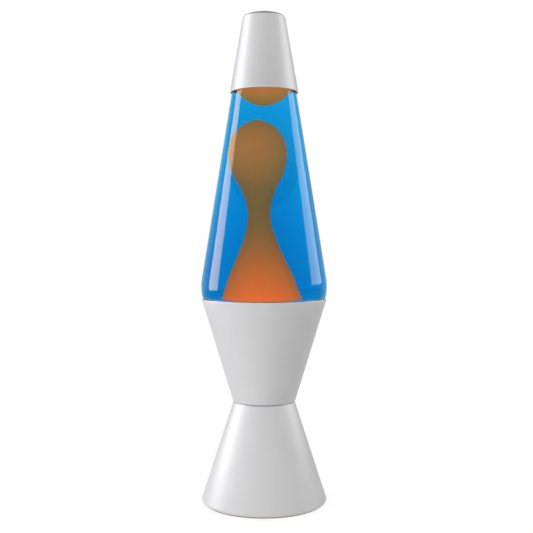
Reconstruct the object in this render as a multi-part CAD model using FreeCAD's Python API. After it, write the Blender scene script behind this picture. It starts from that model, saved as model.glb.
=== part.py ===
"""A table lamp with a glass globe of coloured liquid and drifting wax, warmed from below by a bulb.

Each physical piece is a solid in its own node. Millimetres, +Z up. The origin is on the lamp's axis, at the
face that it stands on. -Y is the front, and the cord hole is at the back, on +Y.
"""
import FreeCAD, Part
import math
import os

VECTOR = FreeCAD.Vector
UP = VECTOR(0, 0, 1)
ORIGIN = VECTOR(0, 0, 0)

# --- Driving sizes ---------------------------------------------------------------------------------------
# Base: two spun cones that meet at the waist
FELT_THICKNESS = 1.0
FELT_INSET = 0.3  # felt's edge, in from where the foot's curl meets the underside
STAND_HEIGHT = 75.6  # felt to the waist joint
STAND_FOOT_RADIUS = 47.9  # at the sharp corner, before it is rounded
STAND_WAIST_RADIUS = 23.3
STAND_FOOT_ROUND = 1.6
STAND_FLANGE = 2.7  # width of the flat turned in under the foot
BASE_SHEET = 0.8
WAIST_ROUND = 1.5
CUP_HEIGHT = 77.75  # waist joint to the top of the rim
CUP_WAIST_RADIUS = 23.6
CUP_RIM_RADIUS = 47.2
CUP_BEAD_RADIUS = 0.9  # rolled edge round the rim
WAIST_OPENING_RADIUS = 16.2

# Globe: a blown bottle that rests on the cup's rolled rim
GLASS_WALL = 3.0
GLOBE_SHOWN = 155.65  # cup rim to cap rim
GLOBE_BELLY_RADIUS = 48.3  # at the belly's sharp corner, before it is rounded
GLOBE_BELLY_RISE = 8.8  # from the cup's rim up to that corner
GLOBE_BELLY_ROUND = 40.0
GLOBE_TOP_RADIUS = 24.5  # at the cap's rim
GLOBE_FOOT_DEPTH = 27.3  # how far the globe reaches down into the cup
GLOBE_SEAT_GAP = 0.35
SEAT_SLOPE_DEG = 34.0  # of the ledge that sits on the rolled rim, above the horizontal
SEAT_INNER_LENGTH = 1.5
SEAT_OUTER_LENGTH = 1.5
LEDGE_ROUND = 2.0
PUNT_RISE = 4.0
PUNT_RADIUS = 22.0
PUNT_SLOPE_WIDTH = 5.5
HEEL_ROUND = 6.0
SHOULDER_RISE = 24.0  # above the cap's rim
NECK_RISE = 33.0
NECK_RADIUS = 12.4
NECK_TOP_RISE = 44.3
LIP_HEIGHT = 5.0
LIP_RADIUS = 13.3
FILL_RISE = 36.0  # the liquid's level, above the cap's rim

# Crown closure on the neck
CROWN_SHEET = 0.5
CROWN_HEIGHT = 6.0
CROWN_SKIRT_RADIUS = 15.4
CROWN_FLUTES = 21
CROWN_FLUTE_RADIUS = 0.9
LINER_THICKNESS = 0.8

# Decorative cap over the neck
CAP_SHEET = 0.6
CAP_HEIGHT = 58.3
CAP_TOP_RADIUS = 15.8  # at the sharp corner, before it is rounded
CAP_TOP_ROUND = 3.0
CAP_BEAD_RADIUS = 0.55
CAP_GAP = 0.33  # between the rolled rim and the glass

# Wax: heights are shares of GLOBE_SHOWN, above the cup's rim
WAX_LEAN_DEG = 1.1  # the column leans to -X
WAX_FOOT_OFFSET = 1.2
POOL_RISE = 7.5  # of the wax lying over the globe's floor, above that floor's lowest ring
COLUMN_FOOT_RADIUS = 33.0
COLUMN_PROFILE = [  # radius, height share
    (26.9, -0.053),
    (24.4, -0.008),
    (20.7, 0.050),
    (17.6, 0.116),
    (9.8, 0.268),
    (6.45, 0.402),
    (9.8, 0.519),
    (13.3, 0.570),
    (15.4, 0.618),
    (16.9, 0.690),
    (15.6, 0.755),
    (12.15, 0.804),
    (8.1, 0.832),
    (4.3, 0.848),
]
COLUMN_TOP = 0.856
BLOB_OFFSET = 0.1
BLOB_BOTTOM = 0.922
BLOB_PROFILE = [(8.4, 0.9435), (14.4, 0.9915), (17.0, 1.072), (11.5, 1.142)]
BLOB_TOP = 1.166
BLOB_GAP = 0.3  # between the free blob and the liquid round it

# Heating coil: a wire wound round a ring, lying in the wax
COIL_WIRE_RADIUS = 0.5
COIL_TURN_RADIUS = 2.2
COIL_TURNS = 24
COIL_POINTS_PER_TURN = 10
COIL_GAP = 0.3

# Bulb with an intermediate screw base
BULB_LENGTH = 58.0
BULB_RADIUS = 17.5
BULB_NECK_RADIUS = 8.3
BULB_WALL = 0.7
BULB_TO_GLOBE = 11.7  # room above the bulb, so that it unscrews fully
BULB_CROWN_ROUND = 17.0
BULB_THREAD_PITCH = 2.822
BULB_THREAD_TURNS = 4
BULB_ROOT_RADIUS = 7.75
BULB_BASE_SHEET = 0.4
BULB_RIDGE_RADIUS = 0.7
BULB_RIDGE_SINK = 0.15  # how far the ridge's centre lies inside the root
BULB_COLLAR_RADIUS = 8.6
BULB_COLLAR_HEIGHT = 2.6
CONTACT_HEIGHT = 1.6
CONTACT_RADIUS = 3.0
INSULATOR_HEIGHT = 3.0
THREAD_RUN_OUT = 0.9  # plain shell below and above the ridge
STEM_RADIUS = 2.2
STEM_FLARE_RADIUS = 6.4
STEM_HEIGHT = 15.0
LEAD_RADIUS = 0.35
LEAD_SPAN = 8.0  # from the axis to each end of the filament
LEAD_RISE = 9.0
FILAMENT_COIL_RADIUS = 0.7
FILAMENT_WIRE_RADIUS = 0.16
FILAMENT_TURNS = 18

# Lamp holder and its bracket
SOCKET_RADIUS = 12.4
SOCKET_WELL_RADIUS = 8.2  # below the screw shell
SOCKET_FLOOR_THICKNESS = 5.6
SOCKET_LIP = 0.8  # body above the screw shell
SOCKET_SHELL_INNER_RADIUS = 8.75
SOCKET_SHELL_SHEET = 0.4
SOCKET_RIDGE_RADIUS = 0.55
SOCKET_RIDGE_SINK = 0.15
CONTACT_STRIP_SHEET = 0.4
CONTACT_STRIP_WIDTH = 4.0
CONTACT_STRIP_RISE = 2.6
CONTACT_AIR = 0.25
BRACKET_SHEET = 1.2
BRACKET_WIDTH = 11.0
BRACKET_GAP = 0.6  # between a leg and the socket
BRACKET_EDGE_GAP = 0.7  # between an ear's end and the cup's wall
NIPPLE_RADIUS = 4.0
NIPPLE_BORE_RADIUS = 2.6
NIPPLE_GRIP = 4.0  # depth in the socket's floor
NIPPLE_TAIL = 7.0  # length below the bracket
NIPPLE_NUT_FLATS = 12.0
NIPPLE_NUT_HEIGHT = 4.0
WASHER_THICKNESS = 0.8
SCREW_RADIUS = 1.5  # M3
SCREW_HEAD_RADIUS = 2.6
SCREW_HEAD_HEIGHT = 1.8
SCREW_SLOT_WIDTH = 0.8
SCREW_TAIL = 1.0  # thread past the nut
SCREW_HOLE_GAP = 0.2
NUT_FLATS = 5.5
NUT_HEIGHT = 2.4
TERMINAL_HEAD_RADIUS = 2.6
TERMINAL_HEAD_HEIGHT = 1.3
TERMINAL_SHANK_RADIUS = 1.4
TERMINAL_DEPTH = 4.0
TERMINAL_FLAT_DEPTH = 1.6
TERMINAL_FLAT_WIDTH = 8.0
RIVET_RADIUS = 1.4
RIVET_HEAD_RADIUS = 2.5
RIVET_HEAD_HEIGHT = 0.9

# Cord hole and cover
GROMMET_RISE = 13.0  # of its centre, above the felt
GROMMET_BORE_RADIUS = 3.2
GROMMET_NECK_RADIUS = 4.8
GROMMET_FLANGE_RADIUS = 6.8
GROMMET_FLANGE_HEIGHT = 1.6
GROMMET_GAP = 0.05
COVER_SHEET = 0.8
COVER_EDGE_GAP = 1.0
COVER_STEP_WIDTH = 1.0

# --- Heights that follow ---------------------------------------------------------------------------------
WAIST_Z = FELT_THICKNESS + STAND_HEIGHT
CUP_RIM_Z = WAIST_Z + CUP_HEIGHT
CAP_RIM_Z = CUP_RIM_Z + GLOBE_SHOWN
CAP_TOP_Z = CAP_RIM_Z + CAP_HEIGHT
GLOBE_FOOT_Z = CUP_RIM_Z - GLOBE_FOOT_DEPTH
BULB_TOP_Z = GLOBE_FOOT_Z - BULB_TO_GLOBE
BULB_TIP_Z = BULB_TOP_Z - BULB_LENGTH
BULB_INSULATOR_Z = BULB_TIP_Z + CONTACT_HEIGHT
BULB_SHELL_Z = BULB_INSULATOR_Z + INSULATOR_HEIGHT
BULB_THREAD_Z = BULB_SHELL_Z + THREAD_RUN_OUT + BULB_RIDGE_RADIUS
BULB_THREAD_RISE = BULB_THREAD_TURNS * BULB_THREAD_PITCH
BULB_COLLAR_Z = BULB_THREAD_Z + BULB_THREAD_RISE + BULB_RIDGE_RADIUS + THREAD_RUN_OUT
BULB_COLLAR_TOP_Z = BULB_COLLAR_Z + BULB_COLLAR_HEIGHT
SOCKET_FLOOR_Z = BULB_TIP_Z - CONTACT_AIR - CONTACT_STRIP_RISE
SOCKET_FOOT_Z = SOCKET_FLOOR_Z - SOCKET_FLOOR_THICKNESS
SOCKET_SHELL_Z = SOCKET_FLOOR_Z + CONTACT_STRIP_RISE
SOCKET_SHELL_OUTER_RADIUS = SOCKET_SHELL_INNER_RADIUS + SOCKET_SHELL_SHEET
SOCKET_SHELL_TOP_Z = BULB_COLLAR_Z - THREAD_RUN_OUT
SOCKET_TOP_Z = SOCKET_SHELL_TOP_Z + SOCKET_LIP
BRACKET_FOOT_Z = SOCKET_FOOT_Z - BRACKET_SHEET
CUP_FLOOR_Z = WAIST_Z + BASE_SHEET
STAND_DECK_Z = WAIST_Z - BASE_SHEET
FASTENER_CIRCLE = (WAIST_OPENING_RADIUS + CUP_WAIST_RADIUS - BASE_SHEET) / 2


# --- Sections and simple solids --------------------------------------------------------------------------
def at(radius, height):
    """A point of a section, in the plane that is turned round the lamp's axis."""
    return VECTOR(radius, 0, height)


def line(first, last):
    return Part.LineSegment(first, last).toShape()


def unit(vector):
    return VECTOR(vector).normalize()


def left_of(direction):
    return VECTOR(-direction.z, 0, direction.x)


def rounded_edges(corners, rounds):
    """The edges of an open path through the corners, where each corner between the ends has its own round."""
    edges = []
    start = corners[0]
    for before, corner, after, radius in zip(corners, corners[1:], corners[2:], rounds):
        back = unit(before - corner)
        onward = unit(after - corner)
        if radius > 0:
            half = back.getAngle(onward) / 2
            inward = unit(back + onward)
            first = corner + back * (radius / math.tan(half))
            last = corner + onward * (radius / math.tan(half))
            middle = corner + inward * (radius / math.sin(half) - radius)
            edges += [line(start, first), Part.Arc(first, middle, last).toShape()]
            start = last
        else:
            edges.append(line(start, corner))
            start = corner
    return edges + [line(start, corners[-1])]


def beside(corners, rounds, distance):
    """The path that runs beside another, to its left, with its rounds made to match."""
    headings = [unit(last - first) for first, last in zip(corners, corners[1:])]
    sides = [left_of(heading) for heading in headings]
    moved = [corners[0] + sides[0] * distance]
    matched = []
    for corner, radius, before, after in zip(corners[1:], rounds, sides, sides[1:]):
        moved.append(corner + (before + after) * (distance / (1 + before.dot(after))))
        turns_left = before.cross(after).y < 0
        matched.append(max(radius - distance, 0) if turns_left else radius + distance)
    moved.append(corners[-1] + sides[-1] * distance)
    return moved, matched


def turned(edges):
    """The solid that a closed section sweeps round the lamp's axis."""
    return Part.Face(Part.Wire(edges)).revolve(ORIGIN, UP, 360)


def turned_outline(corners, rounds=None):
    """A solid of revolution from the corners of its closed section, the first and last of them sharp."""
    rounds = rounds or [0] * (len(corners) - 2)
    return turned(rounded_edges(corners, rounds) + [line(corners[-1], corners[0])])


def sheet_section(corners, rounds, thickness):
    """The closed section of a sheet that lies to the left of the path through the corners."""
    inner, inner_rounds = beside(corners, rounds, thickness)
    outline = rounded_edges(corners, rounds) + [line(corners[-1], inner[-1])]
    return outline + rounded_edges(inner[::-1], inner_rounds[::-1]) + [line(inner[0], corners[0])]


def turned_sheet(corners, rounds, thickness):
    return turned(sheet_section(corners, rounds, thickness))


def ring(inner_radius, outer_radius, low, high):
    return turned_outline(
        [at(inner_radius, low), at(outer_radius, low), at(outer_radius, high), at(inner_radius, high)]
    )


def rod(radius, low, high, x=0, y=0):
    return Part.makeCylinder(radius, high - low, VECTOR(x, y, low))


def bead(tube_radius, radius, height):
    return Part.makeTorus(radius, tube_radius, VECTOR(0, 0, height))


def hexagon(flats, low, high, x=0, y=0):
    corner_radius = flats / math.sqrt(3)
    angles = [step * math.pi / 3 for step in range(6)]
    corners = [VECTOR(x + corner_radius * math.cos(a), y + corner_radius * math.sin(a), low) for a in angles]
    return Part.Face(Part.makePolygon(corners + corners[:1])).extrude(VECTOR(0, 0, high - low))


def smooth_profile(points):
    """A curve through the points, which run on mirrored past the axis so that it meets the axis level."""
    mirrored = [at(-point.x, point.z) for point in points[::-1] if point.x > 0]
    before = mirrored[-3:] if points[0].x == 0 else []
    curve = Part.BSplineCurve()
    curve.interpolate(before + points + mirrored)
    curve.segment(curve.parameter(points[0]), curve.parameter(points[-1]))
    return curve.toShape()


def helical_ridge(radius, tube_radius, pitch, turns, low):
    """A round ridge wound up the lamp's axis, right-handed."""
    helix = Part.makeHelix(pitch, pitch * turns, radius)
    tangent = VECTOR(0, 2 * math.pi * radius, pitch)
    profile = Part.Wire(Part.makeCircle(tube_radius, VECTOR(radius, 0, 0), tangent))
    ridge = Part.Wire(helix.Edges).makePipeShell([profile], True, True)
    ridge.translate(VECTOR(0, 0, low))
    return ridge


def on_both_sides(make, distance, along="x"):
    """Two copies of a fastener, on opposite sides of the axis."""
    places = [(side * distance, 0) if along == "x" else (0, side * distance) for side in (1, -1)]
    return Part.makeCompound([make(x, y) for x, y in places])


def radius_on(low, high, height):
    """The radius at a height on the straight wall between two section points."""
    return low.x + (high.x - low.x) * (height - low.z) / (high.z - low.z)


# --- Base ------------------------------------------------------------------------------------------------
STAND_FOOT = at(STAND_FOOT_RADIUS, FELT_THICKNESS)
STAND_WAIST = at(STAND_WAIST_RADIUS, WAIST_Z)
CUP_WAIST = at(CUP_WAIST_RADIUS, WAIST_Z)
CUP_RIM = at(CUP_RIM_RADIUS, CUP_RIM_Z - CUP_BEAD_RADIUS)
CUP_BEAD_CENTRE = at(CUP_RIM.x - CUP_BEAD_RADIUS, CUP_RIM.z)


def foot_curl_start():
    """Where the foot's round meets the flat underside."""
    wall = unit(STAND_WAIST - STAND_FOOT)
    half = wall.getAngle(VECTOR(-1, 0, 0)) / 2
    return STAND_FOOT_RADIUS - STAND_FOOT_ROUND / math.tan(half)


def grommet_axis():
    """The cord hole's centre on the stand's wall, and the wall's outward normal there."""
    height = FELT_THICKNESS + GROMMET_RISE
    wall = unit(STAND_WAIST - STAND_FOOT)
    centre = VECTOR(0, radius_on(STAND_FOOT, STAND_WAIST, height), height)
    return centre, VECTOR(0, wall.z, -wall.x)


def waist_holes():
    def hole(radius):
        return lambda x, y: rod(radius, STAND_DECK_Z - 1, CUP_FLOOR_Z + 1, x, y)

    screw_holes = on_both_sides(hole(SCREW_RADIUS + SCREW_HOLE_GAP), FASTENER_CIRCLE)
    rivet_holes = on_both_sides(hole(RIVET_RADIUS), FASTENER_CIRCLE, "y")
    return Part.makeCompound(screw_holes.Solids + rivet_holes.Solids)


def stand_cone():
    path = [
        at(foot_curl_start() - STAND_FLANGE, FELT_THICKNESS),
        STAND_FOOT,
        STAND_WAIST,
        at(WAIST_OPENING_RADIUS, WAIST_Z),
    ]
    shell = turned_sheet(path, [STAND_FOOT_ROUND, WAIST_ROUND], BASE_SHEET)
    centre, outward = grommet_axis()
    reach = GROMMET_FLANGE_HEIGHT + BASE_SHEET
    hole_radius = GROMMET_NECK_RADIUS + GROMMET_GAP
    cord_hole = Part.makeCylinder(hole_radius, 2 * reach, centre - outward * reach, outward)
    return shell.cut(cord_hole).cut(waist_holes())


def globe_cup():
    path = [at(WAIST_OPENING_RADIUS, WAIST_Z), CUP_WAIST, CUP_RIM]
    shell = turned_sheet(path, [WAIST_ROUND], BASE_SHEET)
    rolled_rim = bead(CUP_BEAD_RADIUS, CUP_BEAD_CENTRE.x, CUP_BEAD_CENTRE.z)
    return shell.fuse(rolled_rim).cut(waist_holes())


def bottom_cover():
    inner_edge = foot_curl_start() - STAND_FLANGE
    step = inner_edge - COVER_STEP_WIDTH
    rest = FELT_THICKNESS + BASE_SHEET
    outer_edge = radius_on(STAND_FOOT, STAND_WAIST, rest + COVER_SHEET) - BASE_SHEET - COVER_EDGE_GAP
    step_foot = at(step - COVER_SHEET, FELT_THICKNESS)
    path = [at(0, FELT_THICKNESS), step_foot, at(step, rest), at(outer_edge, rest)]
    return turned_sheet(path, [0, 0], COVER_SHEET)


def felt_pad():
    return rod(foot_curl_start() - FELT_INSET, 0, FELT_THICKNESS)


def cord_grommet():
    """A rubber bush: two flanges on a neck that fills the hole in the stand's wall."""
    centre, outward = grommet_axis()
    length = BASE_SHEET + 2 * GROMMET_FLANGE_HEIGHT
    inner_end = centre - outward * (BASE_SHEET + GROMMET_FLANGE_HEIGHT)
    neck = Part.makeCylinder(GROMMET_NECK_RADIUS, length, inner_end, outward)
    outer_start = inner_end + outward * (length - GROMMET_FLANGE_HEIGHT)
    inner_flange = Part.makeCylinder(GROMMET_FLANGE_RADIUS, GROMMET_FLANGE_HEIGHT, inner_end, outward)
    outer_flange = Part.makeCylinder(GROMMET_FLANGE_RADIUS, GROMMET_FLANGE_HEIGHT, outer_start, outward)
    body = neck.fuse([inner_flange, outer_flange])
    wall = stand_wall_near_grommet()
    bore = Part.makeCylinder(GROMMET_BORE_RADIUS, length + 2, inner_end - outward, outward)
    return body.cut(wall).cut(bore)


def stand_wall_near_grommet():
    """The stand's curved wall where the grommet's flanges lie against it, without the hole."""
    wall = [STAND_FOOT, STAND_WAIST]
    outward = VECTOR(0, 0, 0) - left_of(unit(STAND_WAIST - STAND_FOOT))
    inner = [point - outward * (BASE_SHEET + GROMMET_GAP) for point in wall]
    outer = [point + outward * GROMMET_GAP for point in wall]
    sheet = turned_outline([inner[0], outer[0], outer[1], inner[1]])
    centre, axis = grommet_axis()
    reach = GROMMET_FLANGE_HEIGHT + BASE_SHEET
    neck = Part.makeCylinder(GROMMET_NECK_RADIUS, 4 * reach, centre - axis * 2 * reach, axis)
    return sheet.cut(neck)


def waist_rivets():
    def rivet(x, y):
        shank = rod(RIVET_RADIUS, STAND_DECK_Z, CUP_FLOOR_Z, x, y)
        head = rod(RIVET_HEAD_RADIUS, CUP_FLOOR_Z, CUP_FLOOR_Z + RIVET_HEAD_HEIGHT, x, y)
        tail = rod(RIVET_HEAD_RADIUS, STAND_DECK_Z - RIVET_HEAD_HEIGHT, STAND_DECK_Z, x, y)
        return shank.fuse([head, tail])

    return on_both_sides(rivet, FASTENER_CIRCLE, "y")


# --- Lamp holder -----------------------------------------------------------------------------------------
LEG_INNER_X = SOCKET_RADIUS + BRACKET_GAP
SCREW_SEAT_Z = CUP_FLOOR_Z + BRACKET_SHEET
NIPPLE_FOOT_Z = BRACKET_FOOT_Z - NIPPLE_TAIL


def socket_bracket():
    """A strap bent to a U: two ears on the cup's floor, two legs, and a foot plate under the socket."""
    leg_outer_x = LEG_INNER_X + BRACKET_SHEET
    ear_end = radius_on(CUP_WAIST, CUP_RIM, CUP_FLOOR_Z) - BASE_SHEET - BRACKET_EDGE_GAP

    def block(half_length, low, high):
        corner = VECTOR(-half_length, -BRACKET_WIDTH / 2, low)
        return Part.makeBox(2 * half_length, BRACKET_WIDTH, high - low, corner)

    def screw_hole(x, y):
        return rod(SCREW_RADIUS + SCREW_HOLE_GAP, CUP_FLOOR_Z - 1, SCREW_SEAT_Z + 1, x, y)

    strap = block(leg_outer_x, BRACKET_FOOT_Z, SCREW_SEAT_Z)
    hollow = block(LEG_INNER_X, SOCKET_FOOT_Z, SCREW_SEAT_Z)
    ears = block(ear_end, CUP_FLOOR_Z, SCREW_SEAT_Z).common(rod(ear_end, CUP_FLOOR_Z, SCREW_SEAT_Z))
    body = strap.fuse(ears).cut(hollow)
    screw_holes = on_both_sides(screw_hole, FASTENER_CIRCLE)
    nipple_hole = rod(NIPPLE_RADIUS + SCREW_HOLE_GAP, BRACKET_FOOT_Z - 1, SOCKET_FOOT_Z + 1)
    return body.cut(screw_holes).cut(nipple_hole).removeSplitter()


def bracket_screws():
    def screw(x, y):
        end = STAND_DECK_Z - WASHER_THICKNESS - NUT_HEIGHT - SCREW_TAIL
        head_top = SCREW_SEAT_Z + SCREW_HEAD_HEIGHT
        head = rod(SCREW_HEAD_RADIUS, SCREW_SEAT_Z, head_top, x, y)
        slot = Part.makeBox(
            2 * SCREW_HEAD_RADIUS,
            SCREW_SLOT_WIDTH,
            SCREW_HEAD_HEIGHT,
            VECTOR(x - SCREW_HEAD_RADIUS, y - SCREW_SLOT_WIDTH / 2, head_top - SCREW_HEAD_HEIGHT / 2),
        )
        return rod(SCREW_RADIUS, end, SCREW_SEAT_Z, x, y).fuse(head).cut(slot)

    return on_both_sides(screw, FASTENER_CIRCLE)


def bracket_washers():
    def washer(x, y):
        low = STAND_DECK_Z - WASHER_THICKNESS
        hole = rod(SCREW_RADIUS + SCREW_HOLE_GAP, low - 1, STAND_DECK_Z + 1, x, y)
        return rod(NUT_FLATS / 2, low, STAND_DECK_Z, x, y).cut(hole)

    return on_both_sides(washer, FASTENER_CIRCLE)


def bracket_nuts():
    def nut(x, y):
        high = STAND_DECK_Z - WASHER_THICKNESS
        low = high - NUT_HEIGHT
        return hexagon(NUT_FLATS, low, high, x, y).cut(rod(SCREW_RADIUS, low, high, x, y))

    return on_both_sides(nut, FASTENER_CIRCLE)


def socket_body():
    well = rod(SOCKET_WELL_RADIUS, SOCKET_FLOOR_Z, SOCKET_SHELL_Z + 1)
    seat = rod(SOCKET_SHELL_OUTER_RADIUS, SOCKET_SHELL_Z, SOCKET_TOP_Z + 1)
    nipple_hole = rod(NIPPLE_RADIUS, SOCKET_FOOT_Z - 1, SOCKET_FOOT_Z + NIPPLE_GRIP)
    body = rod(SOCKET_RADIUS, SOCKET_FOOT_Z, SOCKET_TOP_Z).cut(well).cut(seat).cut(nipple_hole)
    for low_y in (SOCKET_RADIUS - TERMINAL_FLAT_DEPTH, -SOCKET_RADIUS):
        corner = VECTOR(-TERMINAL_FLAT_WIDTH / 2, low_y, SOCKET_FOOT_Z)
        flat = Part.makeBox(TERMINAL_FLAT_WIDTH, TERMINAL_FLAT_DEPTH, SOCKET_FLOOR_THICKNESS, corner)
        body = body.cut(flat)
    return body.cut(Part.makeCompound([terminal_screw(side, False) for side in (1, -1)]))


def terminal_screw(side, with_head=True):
    """A screw in the socket's side, lying along Y."""
    face_y = SOCKET_RADIUS - TERMINAL_FLAT_DEPTH
    height = SOCKET_FOOT_Z + SOCKET_FLOOR_THICKNESS / 2
    outward = VECTOR(0, side, 0)
    shank_end = VECTOR(0, side * (face_y - TERMINAL_DEPTH), height)
    shank = Part.makeCylinder(TERMINAL_SHANK_RADIUS, TERMINAL_DEPTH, shank_end, outward)
    if not with_head:
        return shank
    face = VECTOR(0, side * face_y, height)
    head = Part.makeCylinder(TERMINAL_HEAD_RADIUS, TERMINAL_HEAD_HEIGHT, face, outward)
    slot_depth = TERMINAL_HEAD_HEIGHT / 2
    slot_y = side * (face_y + TERMINAL_HEAD_HEIGHT) - (slot_depth if side > 0 else 0)
    slot_low = VECTOR(-TERMINAL_HEAD_RADIUS, slot_y, height - SCREW_SLOT_WIDTH / 2)
    slot = Part.makeBox(2 * TERMINAL_HEAD_RADIUS, slot_depth, SCREW_SLOT_WIDTH, slot_low)
    return shank.fuse(head).cut(slot)


def terminal_screws():
    return Part.makeCompound([terminal_screw(side) for side in (1, -1)])


def socket_screw_shell():
    """A threaded brass shell whose ridge runs half a pitch off the bulb's."""
    shell = ring(SOCKET_SHELL_INNER_RADIUS, SOCKET_SHELL_OUTER_RADIUS, SOCKET_SHELL_Z, SOCKET_SHELL_TOP_Z)
    ridge = helical_ridge(
        SOCKET_SHELL_INNER_RADIUS - SOCKET_RIDGE_SINK,
        SOCKET_RIDGE_RADIUS,
        BULB_THREAD_PITCH,
        BULB_THREAD_TURNS - 1,
        BULB_THREAD_Z + BULB_THREAD_PITCH / 2,
    )
    return shell.fuse(ridge).common(rod(SOCKET_SHELL_OUTER_RADIUS, SOCKET_SHELL_Z, SOCKET_SHELL_TOP_Z))


def socket_contact():
    """A brass strip on the socket's floor, bent up to a tongue that meets the bulb's tip."""
    half = CONTACT_STRIP_WIDTH / 2
    top = SOCKET_SHELL_Z
    reach = SOCKET_WELL_RADIUS - 2
    path = [
        at(-reach, SOCKET_FLOOR_Z),
        at(-CONTACT_STRIP_WIDTH, SOCKET_FLOOR_Z),
        at(-half / 2, top - CONTACT_STRIP_SHEET),
        at(half, top - CONTACT_STRIP_SHEET),
    ]
    section = sheet_section(path, [1.0, 1.0], CONTACT_STRIP_SHEET)
    strip = Part.Face(Part.Wire(section)).extrude(VECTOR(0, CONTACT_STRIP_WIDTH, 0))
    strip.translate(VECTOR(0, -half, 0))
    return strip


def socket_nipple():
    return ring(NIPPLE_BORE_RADIUS, NIPPLE_RADIUS, NIPPLE_FOOT_Z, SOCKET_FOOT_Z + NIPPLE_GRIP)


def nipple_washer():
    inner = NIPPLE_RADIUS + SCREW_HOLE_GAP
    return ring(inner, NIPPLE_NUT_FLATS / 2, BRACKET_FOOT_Z - WASHER_THICKNESS, BRACKET_FOOT_Z)


def nipple_nut():
    high = BRACKET_FOOT_Z - WASHER_THICKNESS
    low = high - NIPPLE_NUT_HEIGHT
    return hexagon(NIPPLE_NUT_FLATS, low, high).cut(rod(NIPPLE_RADIUS, low, high))


# --- Bulb ------------------------------------------------------------------------------------------------
BULB_GLASS_FOOT_Z = BULB_COLLAR_TOP_Z - 1.0
BULB_WIDEST_Z = BULB_TOP_Z - BULB_RADIUS
STEM_TOP_Z = BULB_GLASS_FOOT_Z + STEM_HEIGHT
FILAMENT_Z = STEM_TOP_Z + LEAD_RISE


def bulb_contact():
    low = BULB_TIP_Z
    return turned_outline(
        [at(0, low), at(CONTACT_RADIUS, low), at(CONTACT_RADIUS, BULB_INSULATOR_Z), at(0, BULB_INSULATOR_Z)],
        [CONTACT_HEIGHT * 0.8, 0],
    )


def bulb_insulator():
    shell_inner = BULB_ROOT_RADIUS - BULB_BASE_SHEET
    return turned_outline(
        [
            at(0, BULB_INSULATOR_Z),
            at(CONTACT_RADIUS + 1, BULB_INSULATOR_Z),
            at(shell_inner, BULB_SHELL_Z),
            at(0, BULB_SHELL_Z),
        ]
    )


def bulb_screw_base():
    """The threaded shell, with a collar that holds the glass."""
    inner = BULB_ROOT_RADIUS - BULB_BASE_SHEET
    shell = ring(inner, BULB_ROOT_RADIUS, BULB_SHELL_Z, BULB_COLLAR_Z)
    collar = ring(inner, BULB_COLLAR_RADIUS, BULB_COLLAR_Z, BULB_GLASS_FOOT_Z)
    grip = ring(BULB_NECK_RADIUS, BULB_COLLAR_RADIUS, BULB_GLASS_FOOT_Z, BULB_COLLAR_TOP_Z)
    ridge = helical_ridge(
        BULB_ROOT_RADIUS - BULB_RIDGE_SINK,
        BULB_RIDGE_RADIUS,
        BULB_THREAD_PITCH,
        BULB_THREAD_TURNS,
        BULB_THREAD_Z,
    )
    bore = rod(inner, BULB_SHELL_Z, BULB_GLASS_FOOT_Z)
    return shell.fuse([collar, grip]).fuse(ridge).cut(bore).removeSplitter()


def bulb_glass():
    neck_top = BULB_GLASS_FOOT_Z + 5
    path = [
        at(BULB_NECK_RADIUS, BULB_GLASS_FOOT_Z),
        at(BULB_NECK_RADIUS, neck_top),
        at(BULB_RADIUS, BULB_WIDEST_Z - 4),
        at(BULB_RADIUS, BULB_TOP_Z),
        at(0, BULB_TOP_Z),
    ]
    return turned_sheet(path, [6.0, 9.0, BULB_CROWN_ROUND], BULB_WALL)


def bulb_stem():
    """The glass mount: a flare that closes the neck, and a rod that carries the leads."""
    flare_radius = min(STEM_FLARE_RADIUS, BULB_NECK_RADIUS - BULB_WALL - 0.1)
    return turned_outline(
        [
            at(0, BULB_GLASS_FOOT_Z),
            at(flare_radius, BULB_GLASS_FOOT_Z),
            at(STEM_RADIUS, BULB_GLASS_FOOT_Z + STEM_HEIGHT / 3),
            at(STEM_RADIUS, STEM_TOP_Z),
            at(0, STEM_TOP_Z),
        ],
        [0, 6.0, 1.0],
    )


def bulb_leads():
    """Two wires that rise from the stem and spread to the ends of the filament."""
    wires = []
    for side in (1, -1):
        start = at(side * STEM_RADIUS / 2, STEM_TOP_Z)
        bend = start + VECTOR(0, 0, LEAD_RISE / 4)
        end = at(side * LEAD_SPAN, FILAMENT_Z)
        path = Part.Wire(rounded_edges([start, bend, end], [2.0]))
        profile = Part.Wire(Part.makeCircle(LEAD_RADIUS, start, UP))
        wires.append(path.makePipeShell([profile], True, True))
    return Part.makeCompound(wires)


def bulb_filament():
    """A tungsten coil along X, between the leads' ends."""
    length = 2 * (LEAD_SPAN - 1)
    pitch = length / FILAMENT_TURNS
    helix = Part.makeHelix(pitch, length, FILAMENT_COIL_RADIUS)
    tangent = VECTOR(0, 2 * math.pi * FILAMENT_COIL_RADIUS, pitch)
    profile = Part.Wire(Part.makeCircle(FILAMENT_WIRE_RADIUS, VECTOR(FILAMENT_COIL_RADIUS, 0, 0), tangent))
    coil = Part.Wire(helix.Edges).makePipeShell([profile], True, True)
    coil.rotate(ORIGIN, VECTOR(0, 1, 0), 90)
    coil.translate(VECTOR(-length / 2, 0, FILAMENT_Z + LEAD_RADIUS))
    return coil


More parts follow.
